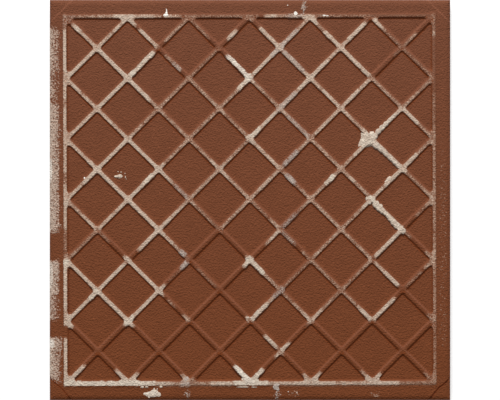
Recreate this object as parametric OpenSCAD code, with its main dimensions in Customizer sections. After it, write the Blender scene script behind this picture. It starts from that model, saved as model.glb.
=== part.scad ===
// Pressed and fired wall tile, lying on its glazed face with the ribbed back up.
// Millimetres. The origin is the middle of the glazed face, and +Z points out of the back.

/* [Body] */
// Side of the square tile
tile_size = 200; // [150:5:330]
// Thickness from the glazed face to the rib tops
tile_t = 7.5; // [6:0.5:12]
// Width of the arris around the glazed face
face_arris = 0.5; // [0.2:0.1:1]

/* [Ribs on the back] */
// Height of the ribs above the pocket floors
rib_h = 1; // [0.6:0.1:1.6]
// Width of a lattice rib across its top
rib_w = 1.8; // [1:0.1:3]
// Width of the square frame rib across its top
frame_w = 1.7; // [1:0.1:3]
// How far a rib's side leans out between its top and the floor
flank_run = 0.75; // [0.3:0.05:1.2]
// Rounding of the pocket corners at the floor
floor_r = 0.45; // [0.1:0.05:1]

/* [Lattice] */
// Number of diamond cells across the frame
cells = 6; // [2:1:9]
// Distance from the edge of the tile to the middle of the frame rib
frame_in = 7.85; // [5:0.05:12]
// Distance from the middle of the frame rib to the outermost crossings
crossing_in = 0.65; // [0:0.05:2]

/* [Margin outside the frame] */
// How far the margin lies below the rib tops
margin_drop = 0.3; // [0.1:0.1:0.5]
// Length along each edge of the lowered triangle in a corner
corner_leg = 11.25; // [6:0.25:13]
// How far that triangle lies below the margin
corner_drop = 0.4; // [0.1:0.05:0.5]
// Width of the slope that ends the back at each edge
edge_run = 2; // [0.5:0.25:3]
// Height of that slope
edge_drop = 1; // [0.5:0.1:2]

/* [Hidden] */
$fn = 32;

half = tile_size / 2;
frame_at = half - frame_in;                  // middle of the frame rib, from the centre
step = (frame_at - crossing_in) / cells;     // from a crossing to the middle of a cell
top_r = floor_r + flank_run;                 // rounding of the pocket corners at the rib tops
over = 0.2;                                  // how far a cutting shape passes the surface it opens
over_r = top_r + flank_run * over / rib_h;   // its rounding at that height
clay = [0.47, 0.28, 0.21];

// Section through the middle of the tile, drawn out along it to both sides.
module sweep() {
    frame_out = frame_at + frame_w / 2;
    slope = flank_run * margin_drop / rib_h;
    margin_z = tile_t - margin_drop;
    right = [
        [half - face_arris, 0],
        [half, face_arris],
        [half, margin_z - edge_drop],
        [half - edge_run, margin_z],
        [frame_out + slope, margin_z],
        [frame_out, tile_t]
    ];
    left = [for (i = [len(right) - 1:-1:0]) [-right[i][0], right[i][1]]];
    rotate([90, 0, 0])
        linear_extrude(tile_size, center = true)
            polygon(concat(right, left));
}

// Solid tile with its raised frame, its margin and its sloped edges, before the pockets.
module blank() {
    intersection() {
        sweep();
        rotate([0, 0, 90]) sweep();
    }
}

// What lowers the triangle in each corner.
module corner_steps() {
    floor_z = tile_t - margin_drop - corner_drop;
    for (turn = [0:90:270])
        rotate([0, 0, turn])
            translate([half, half, floor_z])
                linear_extrude(tile_t)
                    polygon([[over, -corner_leg - over], [over, over], [-corner_leg - over, over]]);
}

// One side wall of a pocket, leaning out from the line between two of its corners.
module pocket_side(from, to) {
    along = to - from;
    translate(from)
        rotate([90, 0, atan2(along[1], along[0]) + 90])
            linear_extrude(norm(along))
                polygon([[0, 0], [-floor_r, 0], [-over_r, rib_h + over], [0, rib_h + over]]);
}

// A pocket with leaning sides and rounded corners around the centres of its roundings,
// which are given counter-clockwise.
module pocket(centres) {
    count = len(centres);
    linear_extrude(rib_h + over) polygon(centres);
    for (i = [0:count - 1]) {
        pocket_side(centres[i], centres[(i + 1) % count]);
        translate(centres[i]) cylinder(r1 = floor_r, r2 = over_r, h = rib_h + over);
    }
}

// Whole cell between four ribs.
module diamond() {
    reach = step - (rib_w / 2 + top_r) * sqrt(2);
    pocket([[reach, 0], [0, reach], [-reach, 0], [0, -reach]]);
}

// Half cell between two ribs and the frame, which runs along its left side.
module half_diamond() {
    wall = frame_w / 2 - crossing_in + top_r;
    reach = step - (rib_w / 2 + top_r) * sqrt(2);
    pocket([[reach, 0], [wall, reach - wall], [wall, wall - reach]]);
}

// All the cells inside the frame.
module pockets() {
    last = 2 * cells - 1;
    for (i = [1:last], j = [1:last])
        if ((i + j) % 2 == 1)
            translate([(i - cells) * step, (j - cells) * step]) diamond();
    for (turn = [0:90:270], j = [1:2:last])
        rotate([0, 0, turn])
            translate([-cells * step, (j - cells) * step]) half_diamond();
}

module tile() {
    color(clay)
        difference() {
            blank();
            corner_steps();
            translate([0, 0, tile_t - rib_h]) pockets();
        }
}

tile();
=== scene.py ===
"""Square pressed red-clay wall tile, lying on its glazed face with the ribbed back up.

The tile is modelled in millimetres from its own sizes and then brought to metres. Pale kiln
wash, which kept the tiles from sticking in the kiln, lies on its ribs and along one edge.
"""
import logging
import math
from dataclasses import dataclass, field
from enum import Enum
from typing import Callable

import bmesh
import bpy
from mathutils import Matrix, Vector, noise


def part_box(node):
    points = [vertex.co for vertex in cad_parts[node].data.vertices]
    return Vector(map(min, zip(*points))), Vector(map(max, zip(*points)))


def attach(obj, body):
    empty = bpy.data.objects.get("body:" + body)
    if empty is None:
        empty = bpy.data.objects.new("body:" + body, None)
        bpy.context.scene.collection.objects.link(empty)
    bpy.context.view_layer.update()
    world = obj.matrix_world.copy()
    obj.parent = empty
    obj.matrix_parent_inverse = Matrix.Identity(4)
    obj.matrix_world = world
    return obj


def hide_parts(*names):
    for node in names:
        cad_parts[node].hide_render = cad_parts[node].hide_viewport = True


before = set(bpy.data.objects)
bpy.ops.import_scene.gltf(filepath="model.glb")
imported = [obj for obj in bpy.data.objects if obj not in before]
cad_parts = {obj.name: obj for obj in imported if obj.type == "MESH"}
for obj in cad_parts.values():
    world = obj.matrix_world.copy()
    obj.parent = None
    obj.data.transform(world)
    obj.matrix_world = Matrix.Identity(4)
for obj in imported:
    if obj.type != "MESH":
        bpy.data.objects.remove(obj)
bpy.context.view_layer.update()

MM = 0.001
log = logging.getLogger("tile")


# ---------------------------------------------------------------- bench work

def clear_selection() -> None:
    """Deselects every object, in object mode."""
    if bpy.context.object and bpy.context.object.mode != "OBJECT":
        bpy.ops.object.mode_set(mode="OBJECT")
    bpy.ops.object.select_all(action="DESELECT")


def work_on(obj: bpy.types.Object) -> None:
    """Makes one object the selected and active one.

    Args:
        obj: The object to work on.
    """
    clear_selection()
    obj.select_set(True)
    bpy.context.view_layer.objects.active = obj


def edit(obj: bpy.types.Object) -> None:
    """Opens an object in edit mode with nothing of it selected.

    Args:
        obj: The mesh object to open.
    """
    work_on(obj)
    bpy.ops.object.mode_set(mode="EDIT")
    bpy.ops.mesh.select_mode(type="VERT")
    bpy.ops.mesh.select_all(action="DESELECT")


def pick(obj: bpy.types.Object, kind: str, test: Callable) -> int:
    """Selects the vertices, edges or faces of the open mesh that pass a test, and no others.

    Args:
        obj: The object in edit mode.
        kind: "VERT", "EDGE" or "FACE".
        test: Takes one element and says whether it is wanted.

    Returns:
        How many elements were selected.
    """
    bpy.ops.mesh.select_mode(type=kind)
    bpy.ops.mesh.select_all(action="DESELECT")
    mesh = bmesh.from_edit_mesh(obj.data)
    elements = {"VERT": mesh.verts, "EDGE": mesh.edges, "FACE": mesh.faces}[kind]
    wanted = [e for e in elements if test(e)]
    for element in wanted:
        element.select = True
    mesh.select_flush_mode()
    bmesh.update_edit_mesh(obj.data)
    return len(wanted)


def apply_modifier(obj: bpy.types.Object, kind: str, **settings: object) -> None:
    """Adds a modifier to an object and applies it.

    Args:
        obj: The mesh object.
        kind: The modifier's type, such as "DISPLACE".
        **settings: Values for the modifier's properties.
    """
    work_on(obj)
    modifier = obj.modifiers.new(kind.title(), kind)
    for name, value in settings.items():
        setattr(modifier, name, value)
    bpy.ops.object.modifier_apply(modifier=modifier.name)


def is_fold(edge: bmesh.types.BMEdge) -> bool:
    """Tells whether the surface turns sharply at an edge."""
    return len(edge.link_faces) == 2 and edge.calc_face_angle(0.0) > math.radians(30)


# ---------------------------------------------------------------- the tile

@dataclass(frozen=True)
class TileSizes:
    """Sizes of the pressed tile in millimetres, on the die's own drawing."""

    half: float
    thickness: float
    rib_height: float = 1.0
    rib_width: float = 1.8
    frame_width: float = 1.7
    flank_run: float = 0.75
    floor_radius: float = 0.45
    cells: int = 6
    frame_in: float = 7.85
    crossing_in: float = 0.65
    margin_drop: float = 0.3
    corner_leg: float = 11.25
    corner_drop: float = 0.4
    edge_run: float = 2.0
    edge_drop: float = 1.0
    face_arris: float = 0.5
    glaze_height: float = 0.45

    @property
    def frame_at(self) -> float:
        """Distance from the middle of the tile to the middle of the frame rib."""
        return self.half - self.frame_in

    @property
    def lattice(self) -> float:
        """Distance from the middle of the tile to the outermost crossings."""
        return self.frame_at - self.crossing_in

    @property
    def step(self) -> float:
        """Distance from a crossing to the middle of a cell beside it."""
        return self.lattice / self.cells

    @property
    def mouth_radius(self) -> float:
        """Rounding of a pocket's corners at the rib tops."""
        return self.floor_radius + self.flank_run

    @property
    def mouth(self) -> float:
        """Distance from the middle of a cell to the corner of its pocket, before rounding."""
        return self.step - self.rib_width / 2 * math.sqrt(2)

    @property
    def margin(self) -> float:
        """Height of the margin outside the frame."""
        return self.thickness - self.margin_drop

    @property
    def corner_foot(self) -> float:
        """Distance from the middle of the tile to the foot of the step at a corner."""
        return (2 * self.half - self.corner_leg) / math.sqrt(2)


@dataclass(frozen=True)
class CellSide:
    """One side of a cell: the way it faces, and how far out its rim and its mouth lie.

    The frame's side of a half cell has a rim that reaches past the line given here.
    """

    facing: Vector
    rim: float
    mouth: float

    def room(self, edge: bmesh.types.BMEdge) -> float:
        """Distance from the middle of an edge out to the mouth's side."""
        return self.mouth - self.facing.dot((edge.verts[0].co + edge.verts[1].co) / 2)

    def holds(self, edge: bmesh.types.BMEdge) -> bool:
        """Tells whether an edge lies on this side's rim, or past it."""
        return all(self.facing.dot(v.co) > self.rim - 1e-3 for v in edge.verts)


@dataclass
class PressedTile:
    """The tile's body: lattice, frame, margin, corner steps, edges and glazed face."""

    sizes: TileSizes
    side_parts: int = 18
    frame_parts: int = 26
    square_parts: int = 4
    sharp_parts: int = 6
    rim_out: float = 0.6
    arris: float = 0.28
    fillet: float = 0.1
    crown: float = 0.07
    punch_turn: float = 0.174
    punch_shift: tuple[float, float] = (-0.04, 0.37)
    punch_shrink: float = 0.005
    punch_bow: tuple[float, float] = (-0.03, 0.28)
    punch_pinch: tuple[float, float] = (0.225, 0.1)

    def whole_cell(self) -> bpy.types.Object:
        """Models a diamond cell out to the middles of its four ribs.

        Returns:
            The cell, with the rib tops at height zero.
        """
        s = self.sizes
        cell = self.start_cell(s.step)
        self.divide(cell, self.side_parts, s.step)
        self.add_diamond(s.mouth)
        bpy.ops.mesh.bevel(offset=s.mouth_radius, segments=self.square_parts, affect="VERTICES")
        self.open_face(cell)
        self.divide(cell, self.side_parts - self.square_parts, s.step)
        sides = [CellSide(Vector((x, y, 0)) / math.sqrt(2), s.step / math.sqrt(2),
                          s.mouth / math.sqrt(2)) for x in (-1, 1) for y in (-1, 1)]
        return self.finish_cell(cell, sides)

    def half_cell(self) -> bpy.types.Object:
        """Models a cell cut off by the frame, whose rib runs along the cell's left side.

        Returns:
            The cell, with the rib tops at height zero.
        """
        s = self.sizes
        wall = s.frame_width / 2 - s.crossing_in
        cell = self.start_cell(s.step, cut_at=0.0)
        pick(cell, "EDGE", lambda e: e.calc_length() > s.step * 1.8)
        bpy.ops.mesh.extrude_region_move(TRANSFORM_OT_translate={"value": (-self.rim_out, 0, 0)})
        pick(cell, "EDGE", lambda e: all(abs(v.co.x) < 1e-4 for v in e.verts))
        bpy.ops.mesh.delete(type="EDGE_FACE")
        self.divide(cell, self.frame_parts - 2, s.step * 1.8)
        self.divide(cell, self.side_parts, s.step)
        self.add_diamond(s.mouth, cut_at=wall)
        reach = s.mouth_radius / math.tan(math.radians(22.5))
        pick(cell, "VERT", lambda v: bool(v.link_faces) and abs(v.co.x - wall) < 1e-4)
        bpy.ops.mesh.bevel(offset=reach, segments=self.sharp_parts, profile=0.41, affect="VERTICES")
        pick(cell, "VERT", lambda v: bool(v.link_faces) and v.co.x > s.mouth - 1e-4)
        bpy.ops.mesh.bevel(offset=s.mouth_radius, segments=self.square_parts, affect="VERTICES")
        self.open_face(cell)
        self.divide(cell, self.frame_parts - self.sharp_parts, s.step * 1.1)
        rounded = (self.square_parts + self.sharp_parts) // 2
        self.divide(cell, self.side_parts - rounded, s.step / 2)
        sides = [CellSide(Vector((1, y, 0)) / math.sqrt(2), s.step / math.sqrt(2),
                          s.mouth / math.sqrt(2)) for y in (-1, 1)]
        sides.append(CellSide(Vector((-1, 0, 0)), 0.0, -wall))
        return self.finish_cell(cell, sides)

    def start_cell(self, radius: float, cut_at: float | None = None) -> bpy.types.Object:
        """Starts a cell with its outer edges, in a new object that stays open.

        Args:
            radius: From the middle of the diamond to its corners.
            cut_at: Where the diamond is cut off on its left, if it is.

        Returns:
            The open cell.
        """
        clear_selection()
        bpy.ops.mesh.primitive_circle_add(vertices=4, radius=radius, fill_type="NGON")
        cell = bpy.context.object
        edit(cell)
        bpy.ops.mesh.select_all(action="SELECT")
        self.cut_off_left(cut_at)
        self.open_face(cell)
        return cell

    def add_diamond(self, radius: float, cut_at: float | None = None) -> None:
        """Adds a diamond face to the open cell.

        Args:
            radius: From the middle of the diamond to its corners.
            cut_at: Where the diamond is cut off on its left, if it is.
        """
        bpy.ops.mesh.select_all(action="DESELECT")
        bpy.ops.mesh.primitive_circle_add(vertices=4, radius=radius, fill_type="NGON")
        self.cut_off_left(cut_at)

    def cut_off_left(self, cut_at: float | None) -> None:
        """Cuts away what is selected to the left of a line.

        Args:
            cut_at: Where the line stands, or None for no cut.
        """
        if cut_at is not None:
            bpy.ops.mesh.bisect(plane_co=(cut_at, 0, 0), plane_no=(1, 0, 0), clear_inner=True,
                                use_fill=False, threshold=1e-5)

    def open_face(self, cell: bpy.types.Object) -> None:
        """Takes the faces out of the open cell and leaves their edges.

        Args:
            cell: The open cell.
        """
        pick(cell, "FACE", lambda f: True)
        bpy.ops.mesh.delete(type="ONLY_FACE")

    def divide(self, cell: bpy.types.Object, parts: int, longer_than: float) -> None:
        """Divides the cell's long edges.

        Args:
            cell: The open cell.
            parts: How many parts each edge is divided into.
            longer_than: Length above which an edge is divided.
        """
        pick(cell, "EDGE", lambda e: e.calc_length() > longer_than)
        bpy.ops.mesh.subdivide(number_cuts=parts - 1)

    def finish_cell(self, cell: bpy.types.Object, sides: list[CellSide]) -> bpy.types.Object:
        """Bridges the rib tops around the mouth, sinks the pocket and closes its floor.

        Args:
            cell: The open cell, with the edges of its rim and of its mouth.
            sides: The cell's sides.

        Returns:
            The finished cell, closed for editing.
        """
        s = self.sizes

        def in_mouth(edge: bmesh.types.BMEdge) -> bool:
            return all(side.mouth - side.facing.dot(v.co) > -1e-3
                       for side in sides for v in edge.verts)

        pick(cell, "EDGE", in_mouth)
        bpy.ops.mesh.edge_face_add()
        for side in sides:
            pick(cell, "EDGE", lambda e: side.room(e) == min(other.room(e) for other in sides)
                 if in_mouth(e) else side.holds(e))
            bpy.ops.mesh.bridge_edge_loops(number_cuts=1, interpolation="LINEAR")
        if pick(cell, "FACE", lambda f: f.normal.z < 0):
            bpy.ops.mesh.flip_normals()
        pick(cell, "FACE", lambda f: len(f.verts) > 8)
        bpy.ops.mesh.inset(thickness=s.flank_run, depth=-s.rib_height)
        self.fill_floor(cell, self.side_parts)
        for reach, above in ((self.arris, -0.5 * s.rib_height), (self.fillet, -2 * s.rib_height)):
            pick(cell, "EDGE", lambda e: is_fold(e) and e.verts[0].co.z > above)
            bpy.ops.mesh.bevel(offset=reach, segments=2, profile=0.5, affect="EDGES")
        bpy.ops.object.mode_set(mode="OBJECT")
        return cell

    def fill_floor(self, cell: bpy.types.Object, span: int) -> None:
        """Replaces the pocket's floor by a net of small faces.

        Args:
            cell: The open cell.
            span: Number of faces along one side of the net.
        """
        pick(cell, "FACE", lambda f: len(f.verts) > 8)
        bpy.ops.mesh.delete(type="ONLY_FACE")
        low = -self.sizes.rib_height + 1e-4
        pick(cell, "EDGE", lambda e: e.is_boundary and all(v.co.z < low for v in e.verts))
        mesh = bmesh.from_edit_mesh(cell.data)
        mesh.verts.ensure_lookup_table()
        tip = max((v for v in mesh.verts if v.select), key=lambda v: v.co.x - abs(v.co.y))
        mesh.select_history.add(tip)
        bmesh.update_edit_mesh(cell.data)
        bpy.ops.mesh.fill_grid(span=span, use_interp_simple=True)

    def lay_out(self) -> bpy.types.Object:
        """Copies the two cells over the lattice and joins them into one sheet.

        Returns:
            The sheet of cells inside the frame, at the height of the rib tops.
        """
        s = self.sizes
        whole, half = self.whole_cell(), self.half_cell()
        last = 2 * s.cells - 1
        places = [(whole, (i - s.cells) * s.step, (j - s.cells) * s.step, 0.0)
                  for i in range(1, last + 1) for j in range(1, last + 1) if (i + j) % 2]
        for turn in range(4):
            angle = math.radians(90 * turn)
            for j in range(1, last + 1, 2):
                x, y = -s.lattice, (j - s.cells) * s.step
                places.append((half, x * math.cos(angle) - y * math.sin(angle),
                               x * math.sin(angle) + y * math.cos(angle), angle))
        copies = []
        for cell, x, y, angle in places:
            copy = cell.copy()
            copy.data = cell.data.copy()
            copy.location, copy.rotation_euler = (x, y, s.thickness), (0, 0, angle)
            bpy.context.scene.collection.objects.link(copy)
            copies.append(copy)
        for cell in (whole, half):
            bpy.data.objects.remove(cell)
        corner = s.lattice + self.rim_out / 2
        for sx, sy in ((1, 1), (-1, 1), (-1, -1), (1, -1)):
            clear_selection()
            bpy.ops.mesh.primitive_plane_add(size=self.rim_out,
                                             location=(sx * corner, sy * corner, s.thickness))
            copies.append(bpy.context.object)
        clear_selection()
        for copy in copies:
            copy.select_set(True)
        bpy.context.view_layer.objects.active = copies[0]
        bpy.ops.object.join()
        sheet = bpy.context.object
        bpy.ops.object.transform_apply(location=True, rotation=True, scale=True)
        edit(sheet)
        bpy.ops.mesh.select_all(action="SELECT")
        bpy.ops.mesh.remove_doubles(threshold=0.005)
        bpy.ops.object.mode_set(mode="OBJECT")
        return sheet

    def outline_rings(self) -> list[tuple[float, float]]:
        """Works out the tile's section outside the lattice.

        Returns:
            Half width and height of each ring, from the frame's top round to the glazed face.
        """
        s = self.sizes
        frame_out = s.frame_at + s.frame_width / 2
        slope = s.flank_run * s.margin_drop / s.rib_height
        rings = [(s.frame_at, s.thickness),
                 (frame_out - 0.2, s.thickness),
                 (frame_out + slope * 0.2, s.thickness - s.margin_drop * 0.3),
                 (frame_out + slope * 0.8, s.margin + s.margin_drop * 0.15),
                 (frame_out + slope + 0.15, s.margin)]
        start = s.half - s.edge_run
        inner = rings[-1][0]
        rings += [(inner + (start - inner) * k / 4, s.margin) for k in (1, 2, 3)]
        rings.append((start, s.margin))
        for k in range(1, 6):
            part = k / 5
            rings.append((start + s.edge_run * part, s.margin - s.edge_drop * part ** 1.3))
        wall_top = s.margin - s.edge_drop
        rings += [(s.half, wall_top + (s.glaze_height - wall_top) * k / 3) for k in (1, 2, 3)]
        rings += [(s.half - s.face_arris * 0.25, s.face_arris * 0.3),
                  (s.half - s.face_arris, 0.0),
                  (s.half - 3.0, 0.0)]
        return rings

    def add_border(self, sheet: bpy.types.Object) -> None:
        """Draws the sheet's rim out over frame, margin and edges, and closes the glazed face.

        Args:
            sheet: The sheet of cells, which becomes the closed tile.
        """
        s = self.sizes
        edit(sheet)
        pick(sheet, "EDGE", lambda e: e.is_boundary)
        at, height = s.lattice + self.rim_out, s.thickness
        for wide, high in self.outline_rings():
            bpy.ops.mesh.extrude_region_move(TRANSFORM_OT_translate={"value": (0, 0, high - height)})
            bpy.ops.transform.resize(value=(wide / at, wide / at, 1), center_override=(0, 0, 0))
            at, height = wide, high
        bpy.ops.mesh.edge_face_add()
        bpy.ops.mesh.select_all(action="SELECT")
        bpy.ops.mesh.normals_make_consistent(inside=False)
        bpy.ops.object.mode_set(mode="OBJECT")

    def step_corners(self, tile: bpy.types.Object) -> None:
        """Lowers the triangle in each corner of the margin, at the foot of a steep step.

        Args:
            tile: The closed tile.
        """
        s = self.sizes
        wall_top = s.margin - s.edge_drop - 0.01
        foot = s.corner_foot
        run = s.corner_drop * s.flank_run
        outside = s.frame_at + s.frame_width / 2
        edit(tile)
        for sx, sy in ((1, 1), (-1, 1), (-1, -1), (1, -1)):
            across = Vector((sx, sy, 0)).normalized()
            for offset in (foot - run - 0.3, foot - run, foot, foot + 0.25, foot + 0.5):
                pick(tile, "FACE", lambda f: f.calc_center_median().z > 1.0
                     and f.calc_center_median().dot(across) > foot - 12
                     and min(abs(f.calc_center_median().x), abs(f.calc_center_median().y)) > 60)
                bpy.ops.mesh.bisect(plane_co=across * offset, plane_no=across,
                                    use_fill=False, threshold=1e-4)
            pick(tile, "VERT", lambda v: v.co.z > wall_top and v.co.dot(across) > foot - 1e-3
                 and max(abs(v.co.x), abs(v.co.y)) > outside - 5)
            for vert in [v for v in bmesh.from_edit_mesh(tile.data).verts if v.select]:
                vert.co.z -= s.corner_drop
            bmesh.update_edit_mesh(tile.data)
        bpy.ops.object.mode_set(mode="OBJECT")

    def build(self) -> bpy.types.Object:
        """Models the whole tile in millimetres.

        Returns:
            The closed tile.
        """
        tile = self.lay_out()
        self.add_border(tile)
        self.step_corners(tile)
        tile.name = tile.data.name = "pressed_tile"
        return tile

    def crown_ribs(self, tile: bpy.types.Object) -> None:
        """Rounds the rib tops over a little, as pressing and wear leave them.

        Args:
            tile: The tile, in millimetres, before it is set askew.
        """
        s = self.sizes
        unit = s.step / math.sqrt(2)
        for vert in tile.data.vertices:
            x, y = vert.co.x, vert.co.y
            i, j = (x + s.lattice) / s.step, (s.lattice - y) / s.step
            beyond = max(abs(x), abs(y)) - s.frame_at
            crown, drop = (self.crown, s.rib_height) if beyond < 0 else (0.15, s.margin_drop)
            across = min(abs(i - j - 2 * round((i - j) / 2)) * unit if beyond < 0 else s.half,
                         abs(i + j - 2 * round((i + j) / 2)) * unit if beyond < 0 else s.half,
                         abs(beyond))
            part = max(1.0 - (s.thickness - vert.co.z) / drop, 0.0)
            vert.co.z -= crown * part * min(across / (s.rib_width / 2), 1.0) ** 2

    def set_askew(self, tile: bpy.types.Object) -> None:
        """Moves frame and lattice to where the punch really struck, a little off true.

        Its ribs were also cut slightly off, each a little too near to the middle.

        Args:
            tile: The tile, in millimetres.
        """
        s = self.sizes
        turn = math.radians(self.punch_turn)
        held = s.half - s.edge_run - 0.5
        free = s.frame_at + s.frame_width

        def cut(at: float, bow: float, pinch: float) -> float:
            part = math.pi * min(max(at / s.lattice, -1.0), 1.0)
            return at + bow * math.cos(part / 2) - pinch * math.sin(part)

        for vert in tile.data.vertices:
            x = cut(vert.co.x, self.punch_bow[0], self.punch_pinch[0])
            y = cut(vert.co.y, self.punch_bow[1], self.punch_pinch[1]) * (1 - self.punch_shrink)
            part = min(max((held - max(abs(x), abs(y))) / (held - free), 0.0), 1.0)
            struck = Vector((x * math.cos(turn) - y * math.sin(turn) + self.punch_shift[0],
                             x * math.sin(turn) + y * math.cos(turn) + self.punch_shift[1], vert.co.z))
            vert.co = vert.co.lerp(struck, part)


# ---------------------------------------------------------------- the kiln wash

class Rib(Enum):
    """Which way a rib runs: two ways across the lattice, and the four sides of the frame."""

    FALLING = "falling"
    RISING = "rising"
    LEFT = "left"
    RIGHT = "right"
    TOP = "top"
    BOTTOM = "bottom"


FULL, DENSE, WORN, THIN, SHEER, DUSTY = 1.0, 0.8, 0.62, 0.5, 0.4, 0.28
LEVEL, BODY, COAT, HEAVY = 0.0, 0.15, 0.3, 0.36
GREY, GREYISH, DULL, PALE, CREAM, WHITE = -1.0, -0.6, -0.3, 0.0, 0.45, 1.0


@dataclass(frozen=True)
class Stretch:
    """A stretch of one rib that carries wash.

    Places along a rib are counted in half cells from the tile's left edge, or from its top
    edge along the frame's upright sides.
    """

    start: float
    end: float
    cover: float
    body: float = LEVEL
    tone: float = PALE


@dataclass(frozen=True)
class Smear:
    """An oval smear of thin wash, in millimetres from the middle of the tile."""

    x: float
    y: float
    across: float
    tall: float
    cover: float
    tone: float = PALE


@dataclass(frozen=True)
class Blob:
    """One oval swelling of a lump, in millimetres, with its half widths and its rise."""

    x: float
    y: float
    across: float
    tall: float
    rise: float
    turn: float = 0.0


@dataclass(frozen=True)
class Lump:
    """A raised lump of dried wash, made of blobs that run into each other.

    Where it has a rim, a web slopes up from there to the first blob.
    """

    name: str
    foot: float
    tone: float
    blobs: tuple[Blob, ...]
    rim: tuple[tuple[float, float], ...] = ()


def on_rib(*stretches: tuple[float, ...]) -> tuple[Stretch, ...]:
    """Lists the stretches of one rib.

    Args:
        *stretches: Start, end and cover, then body in millimetres and tone where they differ.

    Returns:
        The stretches.
    """
    return tuple(Stretch(*values) for values in stretches)


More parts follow.
